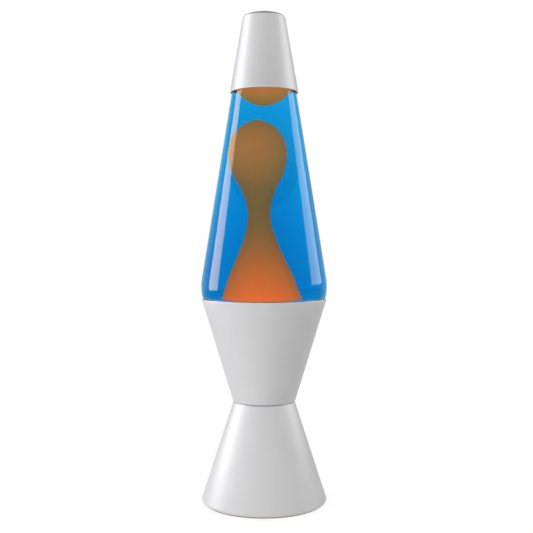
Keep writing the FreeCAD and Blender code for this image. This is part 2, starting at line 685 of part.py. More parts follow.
# --- Globe -----------------------------------------------------------------------------------------------
def globe_path(with_ledge=True):
    """The glass's outer surface, from the middle of the punt to the top of the neck.

    Without the ledge that sits on the cup's rim, it is the path that the inner surface runs beside.
    """
    slope = math.radians(SEAT_SLOPE_DEG)
    along = at(math.cos(slope), math.sin(slope))
    seat = CUP_BEAD_CENTRE + left_of(along) * (CUP_BEAD_RADIUS + GLOBE_SEAT_GAP)
    seat_inner = seat - along * SEAT_INNER_LENGTH
    seat_outer = seat + along * SEAT_OUTER_LENGTH
    wall_slope = (CUP_RIM.x - CUP_WAIST.x) / (CUP_RIM.z - CUP_WAIST.z)
    heel_radius = seat_inner.x - (seat_inner.z - GLOBE_FOOT_Z) * wall_slope
    belly = at(GLOBE_BELLY_RADIUS, CUP_RIM_Z + GLOBE_BELLY_RISE)
    cone_top = at(GLOBE_TOP_RADIUS, CAP_RIM_Z)
    shoulder_z = CAP_RIM_Z + SHOULDER_RISE
    corners = [
        at(0, GLOBE_FOOT_Z + PUNT_RISE),
        at(PUNT_RADIUS, GLOBE_FOOT_Z + PUNT_RISE),
        at(PUNT_RADIUS + PUNT_SLOPE_WIDTH, GLOBE_FOOT_Z),
        at(heel_radius, GLOBE_FOOT_Z),
        *([seat_inner, seat_outer] if with_ledge else []),
        belly,
        at(radius_on(belly, cone_top, shoulder_z), shoulder_z),
        at(NECK_RADIUS, CAP_RIM_Z + NECK_RISE),
        at(NECK_RADIUS, CAP_RIM_Z + NECK_TOP_RISE),
    ]
    ledge_rounds = [LEDGE_ROUND, LEDGE_ROUND] if with_ledge else []
    return corners, [3.0, 3.5, HEEL_ROUND, *ledge_rounds, GLOBE_BELLY_ROUND, 8.0, 3.0]


def turned_to_neck(corners, rounds):
    """The whole space inside a path that ends at the neck's top."""
    top = corners[-1]
    return turned(rounded_edges(corners, rounds) + [line(top, at(0, top.z)), line(at(0, top.z), corners[0])])


def cavity():
    """The space inside the glass, up to the neck's top."""
    return turned_to_neck(*beside(*globe_path(with_ledge=False), GLASS_WALL))


def globe_glass():
    lip_top = CAP_RIM_Z + NECK_TOP_RISE
    lip = rod(LIP_RADIUS, lip_top - LIP_HEIGHT, lip_top)
    return turned_to_neck(*globe_path()).fuse(lip).removeSplitter().cut(cavity())


def wax_height(share):
    return CUP_RIM_Z + share * GLOBE_SHOWN


def coil_centre():
    """The middle of the ring that the heating coil is wound on, over the floor's lowest ring."""
    lowest_radius = PUNT_RADIUS + PUNT_SLOPE_WIDTH + 2 * COIL_TURN_RADIUS / 3
    return lowest_radius, GLOBE_FOOT_Z + GLASS_WALL + COIL_TURN_RADIUS + COIL_WIRE_RADIUS + COIL_GAP


def wax_mass():
    """The column and the pool it rises from, before the coil's groove is taken out."""
    pool_top = GLOBE_FOOT_Z + GLASS_WALL + POOL_RISE
    points = [at(COLUMN_FOOT_RADIUS, pool_top)]
    points += [at(radius, wax_height(share)) for radius, share in COLUMN_PROFILE]
    points += [at(0, wax_height(COLUMN_TOP))]
    axis_foot = at(0, GLOBE_FOOT_Z)
    side_foot = at(COLUMN_FOOT_RADIUS, GLOBE_FOOT_Z)
    outline = [smooth_profile(points), line(points[-1], axis_foot)]
    column = turned(outline + [line(axis_foot, side_foot), line(side_foot, points[0])])
    column.rotate(VECTOR(0, 0, pool_top), VECTOR(0, 1, 0), -WAX_LEAN_DEG)
    column.translate(VECTOR(-WAX_FOOT_OFFSET, 0, 0))
    pool = rod(GLOBE_BELLY_RADIUS, GLOBE_FOOT_Z, pool_top)
    return column.fuse(pool).common(cavity())


def wax_column():
    radius, height = coil_centre()
    reach = COIL_TURN_RADIUS + COIL_WIRE_RADIUS + COIL_GAP
    groove = bead(reach, radius, height).fuse(ring(radius - reach, radius + reach, GLOBE_FOOT_Z, height))
    return wax_mass().cut(groove)


def wax_blob_shape(extra=0):
    """The free blob, or with extra its space in the liquid."""
    bottom, top = wax_height(BLOB_BOTTOM) - extra, wax_height(BLOB_TOP) + extra
    points = [at(radius + extra, wax_height(share)) for radius, share in BLOB_PROFILE]
    side = smooth_profile([at(0, bottom)] + points + [at(0, top)])
    blob = turned([side, line(at(0, top), at(0, bottom))])
    blob.translate(VECTOR(-BLOB_OFFSET, 0, 0))
    return blob


def liquid():
    filled = cavity().common(rod(GLOBE_BELLY_RADIUS, GLOBE_FOOT_Z, CAP_RIM_Z + FILL_RISE))
    return filled.cut(wax_mass()).cut(wax_blob_shape(BLOB_GAP))


def heating_coil():
    """A wire wound round a ring, with its two ends a little apart."""
    ring_radius, height = coil_centre()
    steps = COIL_TURNS * COIL_POINTS_PER_TURN
    points = []
    for step in range(steps - COIL_POINTS_PER_TURN // 2):
        around = 2 * math.pi * step / steps
        turn = around * COIL_TURNS
        radius = ring_radius + COIL_TURN_RADIUS * math.cos(turn)
        rise = height + COIL_TURN_RADIUS * math.sin(turn)
        points.append(VECTOR(radius * math.cos(around), radius * math.sin(around), rise))
    curve = Part.BSplineCurve()
    curve.interpolate(points)
    start = points[0]
    profile = Part.Wire(Part.makeCircle(COIL_WIRE_RADIUS, start, curve.tangent(curve.FirstParameter)[0]))
    return Part.Wire(curve.toShape()).makePipeShell([profile], True, True)


def crown_liner():
    low = CAP_RIM_Z + NECK_TOP_RISE
    return rod(LIP_RADIUS, low, low + LINER_THICKNESS)


def crown_cap():
    """A pressed closure whose skirt is fluted all round."""
    top = CAP_RIM_Z + NECK_TOP_RISE + LINER_THICKNESS + CROWN_SHEET
    skirt_foot = top - CROWN_HEIGHT
    seat = LIP_RADIUS + 0.1
    crown = turned_outline(
        [
            at(0, top - CROWN_SHEET),
            at(seat, top - CROWN_SHEET),
            at(seat, skirt_foot),
            at(CROWN_SKIRT_RADIUS, skirt_foot),
            at(LIP_RADIUS + 3 * CROWN_SHEET, top - CROWN_HEIGHT / 2),
            at(LIP_RADIUS, top),
            at(0, top),
        ],
        [0, 0, 0, 1.0, 0.6],
    )
    flutes = []
    for step in range(CROWN_FLUTES):
        angle = 2 * math.pi * step / CROWN_FLUTES
        radius = CROWN_SKIRT_RADIUS + CROWN_FLUTE_RADIUS / 3
        foot = VECTOR(radius * math.cos(angle), radius * math.sin(angle), skirt_foot - 1)
        flutes.append(Part.makeCylinder(CROWN_FLUTE_RADIUS, CROWN_HEIGHT * 2 / 3 + 1, foot))
    return crown.cut(Part.makeCompound(flutes))


# --- Cap -------------------------------------------------------------------------------------------------
def top_cap():
    bead_centre = at(GLOBE_TOP_RADIUS + CAP_GAP + CAP_BEAD_RADIUS, CAP_RIM_Z + CAP_BEAD_RADIUS)
    path = [
        at(bead_centre.x + CAP_BEAD_RADIUS / 2, bead_centre.z),
        at(CAP_TOP_RADIUS, CAP_TOP_Z),
        at(0, CAP_TOP_Z),
    ]
    shell = turned_sheet(path, [CAP_TOP_ROUND], CAP_SHEET)
    return shell.fuse(bead(CAP_BEAD_RADIUS, bead_centre.x, bead_centre.z))


NODES = {
    "stand_cone": stand_cone,
    "globe_cup": globe_cup,
    "bottom_cover": bottom_cover,
    "felt_pad": felt_pad,
    "cord_grommet": cord_grommet,
    "waist_rivets": waist_rivets,
    "socket_bracket": socket_bracket,
    "bracket_screws": bracket_screws,
    "bracket_washers": bracket_washers,
    "bracket_nuts": bracket_nuts,
    "socket_body": socket_body,
    "terminal_screws": terminal_screws,
    "socket_screw_shell": socket_screw_shell,
    "socket_contact": socket_contact,
    "socket_nipple": socket_nipple,
    "nipple_washer": nipple_washer,
    "nipple_nut": nipple_nut,
    "bulb_contact": bulb_contact,
    "bulb_insulator": bulb_insulator,
    "bulb_screw_base": bulb_screw_base,
    "bulb_glass": bulb_glass,
    "bulb_stem": bulb_stem,
    "bulb_leads": bulb_leads,
    "bulb_filament": bulb_filament,
    "globe_glass": globe_glass,
    "wax_column": wax_column,
    "wax_blob": wax_blob_shape,
    "liquid": liquid,
    "heating_coil": heating_coil,
    "crown_liner": crown_liner,
    "crown_cap": crown_cap,
    "top_cap": top_cap,
}


def main():
    os.makedirs("parts", exist_ok=True)
    for name, make in NODES.items():
        shape = make()
        shape.exportStep(f"parts/{name}.step")
        print(f"{name}: {len(shape.Solids)} solid, {shape.Volume:.1f} mm3, valid {shape.isValid()}")


main()
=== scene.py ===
"""A lava lamp: satin aluminium cones, a glass globe of blue liquid, and orange wax lit from below.

Metres, +Z up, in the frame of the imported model. -Y is the front.
"""
import math

import bpy
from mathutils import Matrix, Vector
from mathutils.geometry import interpolate_bezier


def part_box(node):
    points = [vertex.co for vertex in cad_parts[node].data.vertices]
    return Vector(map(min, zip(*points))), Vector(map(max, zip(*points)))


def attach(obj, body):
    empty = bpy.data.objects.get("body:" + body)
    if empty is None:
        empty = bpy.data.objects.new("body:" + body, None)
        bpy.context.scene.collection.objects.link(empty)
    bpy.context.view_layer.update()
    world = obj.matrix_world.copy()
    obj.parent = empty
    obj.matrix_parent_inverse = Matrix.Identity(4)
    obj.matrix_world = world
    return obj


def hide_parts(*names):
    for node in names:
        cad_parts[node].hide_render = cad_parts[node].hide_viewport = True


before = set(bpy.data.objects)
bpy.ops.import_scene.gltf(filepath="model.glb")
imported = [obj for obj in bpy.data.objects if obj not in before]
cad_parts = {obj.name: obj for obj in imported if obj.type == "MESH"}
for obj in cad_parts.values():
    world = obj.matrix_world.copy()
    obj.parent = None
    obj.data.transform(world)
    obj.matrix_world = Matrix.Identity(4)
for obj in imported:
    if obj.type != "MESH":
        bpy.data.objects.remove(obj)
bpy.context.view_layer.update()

MM = 0.001
TURN = 2 * math.pi
LATHE_STEPS = 192
WAX_STEPS = 96
BULB_STEPS = 128
ARC_STEP = math.radians(6)
SMOOTH_ANGLE = math.radians(40)  # edges that turn more than this stay crisp
NEAR = MM / 1000  # points closer than this are one

# --- Sizes, in millimetres -------------------------------------------------------------------------------
STAND_FOOT_RADIUS = 47.9
STAND_WAIST_RADIUS = 23.3
STAND_FOOT_ROUND = 1.6
STAND_FLANGE = 2.7
CUP_WAIST_RADIUS = 23.6
CUP_RIM_RADIUS = 47.2
CUP_BEAD_RADIUS = 0.9
WAIST_ROUND = 1.5
WAIST_OPENING_RADIUS = 16.2
BASE_SHEET = 0.8
FELT_INSET = 0.3
FELT_ROUND = 0.3
GROMMET_HOLE_RADIUS = 4.85
GROMMET_HOLE_DEPTH = 12.0
HOLE_STEPS = 48

GLASS_WALL = 3.0
GLOBE_BELLY_RADIUS = 48.3
GLOBE_BELLY_RISE = 8.8
GLOBE_BELLY_ROUND = 40.0
GLOBE_TOP_RADIUS = 24.5
GLOBE_SEAT_GAP = 0.35
SEAT_SLOPE = math.radians(34)
SEAT_HALF = 1.5
LEDGE_ROUND = 2.0
PUNT_RISE = 4.0
PUNT_RADIUS = 22.0
PUNT_SLOPE_WIDTH = 5.5
PUNT_TOP_ROUND = 3.0
PUNT_FOOT_ROUND = 3.5
HEEL_ROUND = 6.0
SHOULDER_RISE = 24.0
SHOULDER_ROUND = 8.0
NECK_RISE = 33.0
NECK_RADIUS = 12.4
NECK_ROUND = 3.0
LIP_HEIGHT = 5.0
LIP_RADIUS = 13.3
LIP_FOOT_ROUND = 0.4
LIP_TOP_ROUND = 0.8
LIQUID_OVERLAP = 0.15  # the liquid's skin lies this far inside the glass, so that no film of air shows

CAP_SHEET = 0.6
CAP_TOP_RADIUS = 15.8
CAP_TOP_ROUND = 3.0
CAP_BEAD_RADIUS = 0.55
CAP_GAP = 0.33

WAX_LEAN = math.radians(1.1)
WAX_FOOT_OFFSET = 1.2
WAX_SKIN_GAP = 0.1  # the liquid's film between the pool and the glass
POOL_RISE = 7.5
COLUMN_FOOT_RADIUS = 33.0
COLUMN_PROFILE = [  # radius, and height as a share of the glass that shows
    (26.9, -0.053),
    (24.4, -0.008),
    (20.7, 0.050),
    (17.6, 0.116),
    (9.8, 0.268),
    (6.45, 0.402),
    (9.8, 0.519),
    (13.3, 0.570),
    (15.4, 0.618),
    (16.9, 0.690),
    (15.6, 0.755),
    (12.15, 0.804),
    (8.1, 0.832),
    (4.3, 0.848),
]
COLUMN_TOP = 0.856
BLOB_OFFSET = 0.1
BLOB_BOTTOM = 0.922
BLOB_PROFILE = [(8.4, 0.9435), (14.4, 0.9915), (17.0, 1.072), (11.5, 1.142)]
BLOB_TOP = 1.166

BULB_RADIUS = 17.5
BULB_NECK_RADIUS = 8.3
BULB_NECK_RISE = 5.0
BULB_NECK_ROUND = 6.0
BULB_SIDE_HEIGHT = 4.0
BULB_SIDE_ROUND = 9.0
BULB_CROWN_FLAT = 0.5  # radius of the flat left at the very top
BULB_WALL = 0.7


# --- Heights, from the frame, in millimetres -------------------------------------------------------------
def low_of(node):
    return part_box(node)[0].z / MM


def high_of(node):
    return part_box(node)[1].z / MM


FELT_Z = high_of("felt_pad")
WAIST_Z = low_of("globe_cup")
CUP_RIM_Z = high_of("globe_cup")
CAP_RIM_Z = low_of("top_cap")
CAP_TOP_Z = high_of("top_cap")
GLOBE_FOOT_Z = low_of("globe_glass")
GLOBE_LIP_Z = high_of("globe_glass")
FILL_Z = high_of("liquid")
GLASS_SHOWN = CAP_RIM_Z - CUP_RIM_Z


# --- Outlines --------------------------------------------------------------------------------------------
def at(radius, height):
    """A point of a section: its distance from the axis and its height, in millimetres."""
    return Vector((radius, height))


def left_of(heading):
    return Vector((-heading.y, heading.x))


def rounded(corners, rounds):
    """Points along a path whose inner corners are rounded, each by its own radius."""
    points = [corners[0]]
    for before, corner, after, radius in zip(corners, corners[1:], corners[2:], rounds):
        if radius <= 0:
            points.append(corner)
            continue
        back = (before - corner).normalized()
        onward = (after - corner).normalized()
        half = back.angle(onward) / 2
        centre = corner + (back + onward).normalized() * (radius / math.sin(half))
        start = corner + back * (radius / math.tan(half)) - centre
        sweep = math.pi - 2 * half
        if back.cross(onward) > 0:
            sweep = -sweep
        steps = max(2, math.ceil(abs(sweep) / ARC_STEP))
        for step in range(steps + 1):
            angle = sweep * step / steps
            turned = Vector((
                start.x * math.cos(angle) - start.y * math.sin(angle),
                start.x * math.sin(angle) + start.y * math.cos(angle),
            ))
            points.append(centre + turned)
    return points + [corners[-1]]


def beside(corners, rounds, distance):
    """The path that runs beside another, to its left, with its rounds made to match."""
    headings = [(last - first).normalized() for first, last in zip(corners, corners[1:])]
    sides = [left_of(heading) for heading in headings]
    moved = [corners[0] + sides[0] * distance]
    matched = []
    for corner, radius, before, after in zip(corners[1:], rounds, sides, sides[1:]):
        moved.append(corner + (before + after) * (distance / (1 + before.dot(after))))
        turns_left = before.cross(after) > 0
        matched.append(max(radius - distance, 0) if turns_left else radius + distance)
    moved.append(corners[-1] + sides[-1] * distance)
    return moved, matched


def arc(centre, radius, first, last, steps):
    """Points on an arc between two angles, in degrees from +X towards +Z."""
    angles = [math.radians(first + (last - first) * step / steps) for step in range(steps + 1)]
    return [centre + Vector((math.cos(angle), math.sin(angle))) * radius for angle in angles]


def flowing(points, steps=8):
    """Points on a smooth curve through the given ones, level wherever an end lies on the axis."""
    def mirrored(point):
        return Vector((-point.x, point.y))

    before = mirrored(points[1]) if points[0].x == 0 else points[0] * 2 - points[1]
    after = mirrored(points[-2]) if points[-1].x == 0 else points[-1] * 2 - points[-2]
    ring = [before] + points + [after]
    path = []
    for p0, p1, p2, p3 in zip(ring, ring[1:], ring[2:], ring[3:]):
        span = interpolate_bezier(p1, p1 + (p2 - p0) / 6, p2 - (p3 - p1) / 6, p2, steps + 1)
        path += [Vector(point[:2]) for point in span[:-1]]
    return path + [points[-1]]


def foot_flat_radius():
    """Where the curl of the stand's foot meets its flat underside."""
    side = at(STAND_WAIST_RADIUS, WAIST_Z) - at(STAND_FOOT_RADIUS, FELT_Z)
    half = side.angle(Vector((-1, 0))) / 2
    return STAND_FOOT_RADIUS - STAND_FOOT_ROUND / math.tan(half)


# --- Making pieces ---------------------------------------------------------------------------------------
def deselect_all():
    bpy.ops.object.select_all(action="DESELECT")


def lathe(name, section, steps=LATHE_STEPS):
    """A turned piece: a point is drawn along the section, edge by edge, and spun round the lamp's axis."""
    deselect_all()
    bpy.ops.mesh.primitive_plane_add(size=MM)
    piece = bpy.context.object
    piece.name = piece.data.name = name
    bpy.ops.object.mode_set(mode="EDIT")
    bpy.ops.mesh.select_mode(type="VERT")
    bpy.ops.mesh.select_all(action="SELECT")
    bpy.ops.mesh.merge(type="CENTER")
    bpy.ops.transform.translate(value=(section[0].x * MM, 0, section[0].y * MM))
    for before, after in zip(section, section[1:]):
        step = (after - before) * MM
        bpy.ops.mesh.extrude_vertices_move(TRANSFORM_OT_translate={"value": (step.x, 0, step.y)})
    bpy.ops.mesh.select_all(action="SELECT")
    bpy.ops.mesh.spin(steps=steps, angle=TURN, center=(0, 0, 0), axis=(0, 0, 1))
    bpy.ops.mesh.select_all(action="SELECT")
    bpy.ops.mesh.remove_doubles(threshold=NEAR)
    bpy.ops.mesh.normals_make_consistent(inside=False)
    bpy.ops.object.mode_set(mode="OBJECT")
    bpy.ops.object.shade_smooth_by_angle(angle=SMOOTH_ANGLE)
    return piece


def finish_piece(piece, body, slot, material, *nodes):
    """The piece takes its place on a body, for the CAD nodes that it stands for."""
    piece.data.materials.clear()
    piece.data.materials.append(material)
    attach(piece, body)
    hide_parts(*nodes)
    return piece


def combine(piece, tool, operation):
    """Joins the tool's shape to the piece, cuts it out, or keeps what both share."""
    deselect_all()
    bpy.context.view_layer.objects.active = piece
    piece.select_set(True)
    change = piece.modifiers.new("change", "BOOLEAN")
    change.operation = operation
    change.solver = "EXACT"
    change.object = tool
    bpy.ops.object.modifier_apply(modifier=change.name)
    bpy.data.objects.remove(tool)
    bpy.ops.object.shade_smooth_by_angle(angle=SMOOTH_ANGLE)


def sheet_section(corners, rounds, thickness):
    """The closed section of a sheet that lies to the left of the path."""
    inner, inner_rounds = beside(corners, rounds, thickness)
    return rounded(corners, rounds) + rounded(inner[::-1], inner_rounds[::-1]) + [corners[0]]


# --- Materials -------------------------------------------------------------------------------------------
def material(name):
    """A new material, with its Principled shader."""
    made = bpy.data.materials.new(name)
    made.use_nodes = True
    return made, made.node_tree, made.node_tree.nodes["Principled BSDF"]


def node(tree, kind, **settings):
    made = tree.nodes.new("ShaderNode" + kind)
    for key, value in settings.items():
        setattr(made, key, value)
    return made


def maths(tree, operation, *values):
    made = node(tree, "Math", operation=operation)
    for socket, value in zip(made.inputs, values):
        if isinstance(value, (int, float)):
            socket.default_value = value
        else:
            tree.links.new(value, socket)
    return made.outputs[0]


def group_node(tree, group, **values):
    made = tree.nodes.new("ShaderNodeGroup")
    made.node_tree = group
    for key, value in values.items():
        made.inputs[key.replace("_", " ")].default_value = value
    return made


def from_axis(tree, x, y):
    """The distance from the lamp's axis."""
    squares = [maths(tree, "MULTIPLY", value, value) for value in (x, y)]
    return maths(tree, "SQRT", maths(tree, "ADD", *squares))


def surface_group(name, *inputs):
    """A new node group that takes the named values and puts out a height and a mask."""
    group = bpy.data.node_groups.new(name, "ShaderNodeTree")
    face = group.interface
    for label, default in inputs:
        face.new_socket(label, in_out="INPUT", socket_type="NodeSocketFloat").default_value = default
    for label in ("Height", "Mask"):
        face.new_socket(label, in_out="OUTPUT", socket_type="NodeSocketFloat")
    return group, group.nodes.new("NodeGroupInput"), group.nodes.new("NodeGroupOutput")


def spun_marks_group():
    """Fine rings left by the spinning lathe: a height and a mask that run round the lamp's axis."""
    group, inlet, outlet = surface_group("spun_marks", ("Ring Scale", 2500.0), ("Streak Scale", 40.0))
    where = node(group, "TexCoord")
    parts = node(group, "SeparateXYZ")
    group.links.new(where.outputs["Object"], parts.inputs[0])
    x, y, z = parts.outputs
    angle = maths(group, "ARCTAN2", y, x)
    along = maths(group, "ADD", z, from_axis(group, x, y))
    rings = node(group, "CombineXYZ")
    group.links.new(maths(group, "MULTIPLY", along, inlet.outputs["Ring Scale"]), rings.inputs["X"])
    group.links.new(maths(group, "SINE", angle), rings.inputs["Y"])
    group.links.new(maths(group, "COSINE", angle), rings.inputs["Z"])
    fine = node(group, "TexNoise", noise_dimensions="3D")
    fine.inputs["Scale"].default_value = 1.0
    fine.inputs["Detail"].default_value = 3.0
    group.links.new(rings.outputs[0], fine.inputs["Vector"])
    streaks = node(group, "TexNoise", noise_dimensions="3D")
    streaks.inputs["Detail"].default_value = 2.0
    group.links.new(where.outputs["Object"], streaks.inputs["Vector"])
    group.links.new(inlet.outputs["Streak Scale"], streaks.inputs["Scale"])
    group.links.new(fine.outputs["Fac"], outlet.inputs["Height"])
    group.links.new(streaks.outputs["Fac"], outlet.inputs["Mask"])
    return group


def cast_grain_group():
    """An even grain with no direction: a height, and a mask that drifts more slowly."""
    group, inlet, outlet = surface_group("cast_grain", ("Scale", 400.0), ("Detail", 3.0))
    where = node(group, "TexCoord")
    for output, share in (("Height", 1.0), ("Mask", 0.2)):
        noise = node(group, "TexNoise")
        group.links.new(where.outputs["Object"], noise.inputs["Vector"])
        group.links.new(maths(group, "MULTIPLY", inlet.outputs["Scale"], share), noise.inputs["Scale"])
        group.links.new(inlet.outputs["Detail"], noise.inputs["Detail"])
        group.links.new(noise.outputs["Fac"], outlet.inputs[output])
    return group


SPUN_MARKS = spun_marks_group()
CAST_GRAIN = cast_grain_group()
NOISE_LOW, NOISE_HIGH = 0.3, 0.7  # nearly all of a noise's values lie between these


def span(tree, value, first, last, start, end):
    """Brings a value that runs from first to last to the range from start to end, and holds it beyond."""
    made = node(tree, "MapRange")
    for key, number in (("From Min", first), ("From Max", last), ("To Min", start), ("To Max", end)):
        made.inputs[key].default_value = number
    tree.links.new(value, made.inputs["Value"])
    return made.outputs["Result"]


def ramp(tree, noise, low, high):
    """A noise brought to the range from low to high."""
    return span(tree, noise, NOISE_LOW, NOISE_HIGH, low, high)


def mixed(tree, factor, first, last):
    """The first colour where the factor is 0, and the last where it is 1."""
    made = node(tree, "Mix", data_type="RGBA")
    tree.links.new(factor, made.inputs["Factor"])
    for key, colour in (("A", first), ("B", last)):
        if isinstance(colour, tuple):
            made.inputs[key].default_value = colour
        else:
            tree.links.new(colour, made.inputs[key])
    return made.outputs["Result"]


def blend(tree, mask, dark, light, socket):
    """The mask, a noise, picks a colour between dark and light for the socket."""
    tree.links.new(mixed(tree, ramp(tree, mask, 0.0, 1.0), dark, light), socket)


def relief(tree, shader, height, depth, strength=1.0):
    """The height, from 0 to 1, raises the surface by up to depth metres."""
    bump = node(tree, "Bump")
    bump.inputs["Strength"].default_value = strength
    bump.inputs["Distance"].default_value = depth
    tree.links.new(height, bump.inputs["Height"])
    tree.links.new(bump.outputs[0], shader.inputs["Normal"])


def spun_metal(name, dark, light, rough, spread=0.03, depth=3e-6, ring_scale=2600.0, streak_scale=35.0):
    """Metal turned on a lathe: fine rings, and a tone and a shine that drift a little."""
    made, tree, shader = material(name)
    shader.inputs["Metallic"].default_value = 1.0
    shader.inputs["Anisotropic"].default_value = 0.35
    marks = group_node(tree, SPUN_MARKS, Ring_Scale=ring_scale, Streak_Scale=streak_scale)
    blend(tree, marks.outputs["Mask"], dark, light, shader.inputs["Base Color"])
    shine = ramp(tree, marks.outputs["Mask"], rough - spread, rough + spread)
    tree.links.new(shine, shader.inputs["Roughness"])
    relief(tree, shader, marks.outputs["Height"], depth)
    return made


def lit_inside(made, colour):
    """A painted glow, standing in for light from the bulb, on the walls that face the lamp's axis."""
    tree = made.node_tree
    where = node(tree, "TexCoord")
    outward = node(tree, "VectorMath", operation="MULTIPLY")
    tree.links.new(where.outputs["Object"], outward.inputs[0])
    outward.inputs[1].default_value = (1, 1, 0)
    facing = node(tree, "VectorMath", operation="DOT_PRODUCT")
    tree.links.new(outward.outputs[0], facing.inputs[0])
    tree.links.new(node(tree, "NewGeometry").outputs["Normal"], facing.inputs[1])
    inside = maths(tree, "LESS_THAN", facing.outputs["Value"], 0.0)
    shader = tree.nodes["Principled BSDF"]
    shader.inputs["Emission Color"].default_value = colour
    tree.links.new(inside, shader.inputs["Emission Strength"])
    return made


def grained(name, dark, light, rough, spread, scale, depth, detail=3.0, metallic=0.0, coat=0.0):
    """A cast, moulded, plated or painted surface: tone, shine and height follow one fine grain."""
    made, tree, shader = material(name)
    shader.inputs["Metallic"].default_value = metallic
    shader.inputs["Coat Weight"].default_value = coat
    grain = group_node(tree, CAST_GRAIN, Scale=scale, Detail=detail)
    blend(tree, grain.outputs["Mask"], dark, light, shader.inputs["Base Color"])
    shine = ramp(tree, grain.outputs["Mask"], rough - spread, rough + spread)
    tree.links.new(shine, shader.inputs["Roughness"])
    relief(tree, shader, grain.outputs["Height"], depth)
    return made


def pressed_felt():
    """Wool felt: short fibres that lie every way, with a soft pale nap."""
    made, tree, shader = material("brown_felt")
    shader.inputs["Sheen Weight"].default_value = 0.6
    shader.inputs["Sheen Roughness"].default_value = 0.6
    where = node(tree, "TexCoord")
    fibres = []
    layers = ((0.0, (1.0, 0.12, 1.0)), (1.1, (0.12, 1.0, 1.0)), (2.2, (1.0, 0.15, 1.0)))
    for turn, stretch in layers:
        lay = node(tree, "Mapping")
        lay.inputs["Rotation"].default_value = (0, 0, turn)
        lay.inputs["Scale"].default_value = stretch
        tree.links.new(where.outputs["Object"], lay.inputs["Vector"])
        noise = node(tree, "TexNoise")
        noise.inputs["Scale"].default_value = 2600.0
        noise.inputs["Detail"].default_value = 2.0
        tree.links.new(lay.outputs[0], noise.inputs["Vector"])
        fibres.append(noise.outputs["Fac"])
    tangle = maths(tree, "MAXIMUM", maths(tree, "MAXIMUM", fibres[0], fibres[1]), fibres[2])
    blend(tree, tangle, (0.17, 0.115, 0.08, 1), (0.34, 0.25, 0.18, 1), shader.inputs["Base Color"])
    tree.links.new(ramp(tree, tangle, 0.98, 0.85), shader.inputs["Roughness"])
    relief(tree, shader, tangle, 0.00025)
    return made


def clear_glass(name, pale, deep, wave):
    """Blown glass: clear, with a faint long wave in its surface and a trace of tint."""
    made, tree, shader = material(name)
    shader.inputs["IOR"].default_value = 1.5
    shader.inputs["Roughness"].default_value = 0.0
    shader.inputs["Transmission Weight"].default_value = 1.0
    swell = group_node(tree, CAST_GRAIN, Scale=18.0, Detail=0.0)
    blend(tree, swell.outputs["Mask"], deep, pale, shader.inputs["Base Color"])
    relief(tree, shader, swell.outputs["Height"], wave, 0.5)
    return made


def blue_liquid():
    made, tree, shader = material("blue_liquid")
    shader.inputs["Base Color"].default_value = (0.0625, 0.61, 1.0, 1)
    shader.inputs["Roughness"].default_value = 0.0
    shader.inputs["IOR"].default_value = 1.33
    shader.inputs["Transmission Weight"].default_value = 1.0
    dye = node(tree, "VolumeAbsorption")
    dye.inputs["Color"].default_value = (0.18, 0.753, 0.864, 1)
    dye.inputs["Density"].default_value = 70.0
    tree.links.new(dye.outputs[0], tree.nodes["Material Output"].inputs["Volume"])
    return made


WAX_DARK = (0.80, 0.22, 0.018, 1)
WAX_LIGHT = (0.90, 0.26, 0.022, 1)


def lit_wax(name, foot, fade, strength, glow, veil):
    """Orange wax that glows with the light of the bulb below.

    The glow is full up to the foot, in metres, and fades above it over about the height of the fade. The veil
    is the glow that is left higher up, where the liquid scatters light in front of the wax.
    """
    made, tree, shader = material(name)
    shader.inputs["Roughness"].default_value = 0.35
    shader.inputs["Specular IOR Level"].default_value = 0.2
    where = node(tree, "TexCoord")
    grain = group_node(tree, CAST_GRAIN, Scale=55.0, Detail=1.0)
    blend(tree, grain.outputs["Mask"], WAX_DARK, WAX_LIGHT, shader.inputs["Base Color"])
    parts = node(tree, "SeparateXYZ")
    tree.links.new(where.outputs["Object"], parts.inputs[0])
    rise = maths(tree, "MAXIMUM", maths(tree, "SUBTRACT", parts.outputs["Z"], foot), 0.0)
    share = maths(tree, "DIVIDE", rise, fade)
    square = maths(tree, "MULTIPLY", share, share)
    power = maths(tree, "EXPONENT", maths(tree, "MULTIPLY", square, -1.0))
    colour = node(tree, "CombineXYZ")
    for socket, lit, floor in zip(colour.inputs, glow, veil):
        tree.links.new(maths(tree, "MULTIPLY_ADD", power, lit, floor), socket)
    tree.links.new(colour.outputs[0], shader.inputs["Emission Color"])
    shader.inputs["Emission Strength"].default_value = strength
    return made


ALUMINIUM_DARK = (0.825, 0.825, 0.835, 1)
ALUMINIUM_LIGHT = (0.855, 0.855, 0.865, 1)
ALUMINIUM = spun_metal("spun_aluminium", ALUMINIUM_DARK, ALUMINIUM_LIGHT, rough=0.44)
# The cup's aluminium, with a painted glow of bulb light on its inner walls
BULB_LIT_ALUMINIUM = lit_inside(
    spun_metal("bulb_lit_aluminium", ALUMINIUM_DARK, ALUMINIUM_LIGHT, rough=0.44), (0.34, 0.26, 0.17, 1)
)
CLEAR = (1, 1, 1, 1)
GLOBE_GLASS = clear_glass("globe_glass", CLEAR, (0.985, 0.995, 0.99, 1), wave=0.00015)
BULB_GLASS = clear_glass("bulb_glass", CLEAR, (0.96, 0.97, 0.96, 1), wave=0.0001)
LIQUID = blue_liquid()
WAX = lit_wax(
    "column_wax", foot=0.157, fade=0.043, strength=9.2,
    glow=(0.90, 0.006, -0.0018), veil=(0.31, 0.0190, 0.0032)
)
BLOB_WAX = lit_wax(
    "blob_wax", foot=0.30, fade=0.2, strength=2.8,
    glow=(1.0, 0.003, 0.0), veil=(0.0, 0.0720, 0.0120)
)
FELT = pressed_felt()


